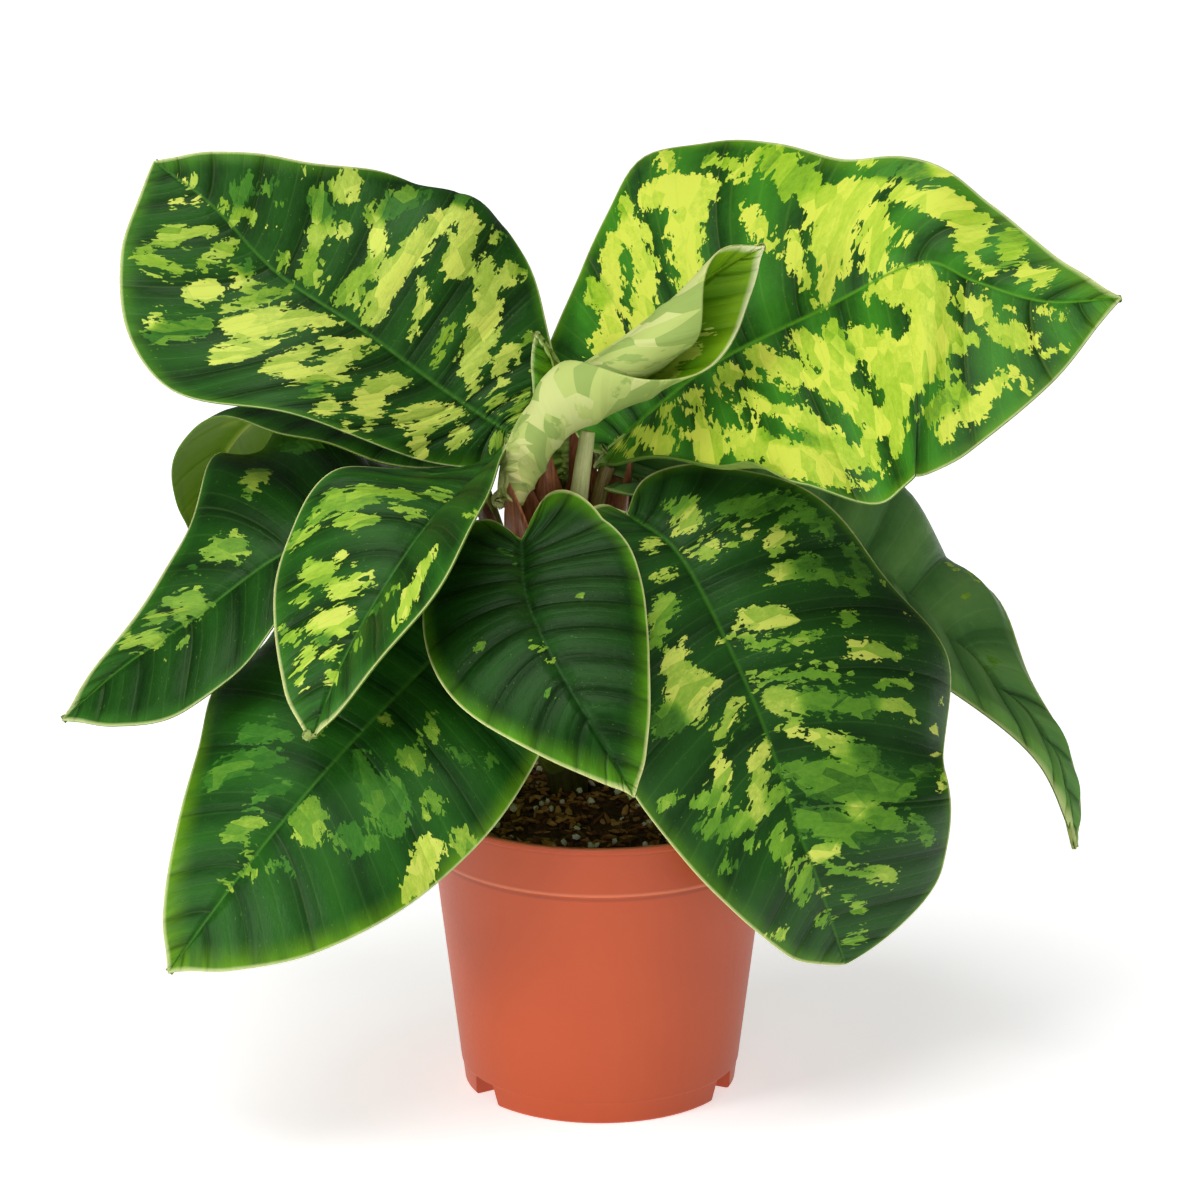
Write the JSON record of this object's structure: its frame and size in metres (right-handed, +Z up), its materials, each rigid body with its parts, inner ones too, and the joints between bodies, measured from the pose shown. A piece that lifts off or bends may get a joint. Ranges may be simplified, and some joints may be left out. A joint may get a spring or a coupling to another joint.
{
  "type": "potted houseplant",
  "caption": "Leafy homalomena with camouflage-patched green leaves on short arching petioles, growing in a round plastic nursery pot.",
  "frame": {"origin": "centre of the pot's flat underside, on the surface that it stands on", "axes": "+Z up along the pot's axis; -Y is the front, the side that the picture shows; +X is the right as seen from the front"},
  "size_m": [0.3501, 0.248, 0.3209],
  "materials": {
    "pot_plastic": "satin",
    "potting_mix": "matte",
    "stem": "satin",
    "petiole": "satin",
    "sheath": "matte",
    "blade": "satin",
    "young_blade": "satin"
  },
  "bodies": {
    "root": {"pot": "pot_plastic", "soil": "potting_mix", "stem": "stem", "petiole_upper_left": "petiole", "petiole_upper_right": "petiole", "petiole_young": "petiole", "petiole_spear": "petiole", "petiole_mid_left": "petiole", "petiole_far_left": "petiole", "petiole_back_left": "petiole", "petiole_low_left": "petiole", "petiole_front": "petiole", "petiole_low_right": "petiole", "petiole_far_right": "petiole", "petiole_back": "petiole", "sheath_left": "sheath", "sheath_front": "sheath", "sheath_middle": "sheath", "sheath_right": "sheath", "sheath_back": "sheath", "sheath_back_right": "sheath", "sheath_low_left": "sheath", "sheath_low_right": "sheath", "blade_upper_left": "blade", "blade_upper_right": "blade", "blade_young": "young_blade", "blade_spear": "young_blade", "blade_mid_left": "blade", "blade_far_left": "blade", "blade_back_left": "blade", "blade_low_left": "blade", "blade_front": "blade", "blade_low_right": "blade", "blade_far_right": "blade", "blade_back": "blade"}
  },
  "joints": []
}
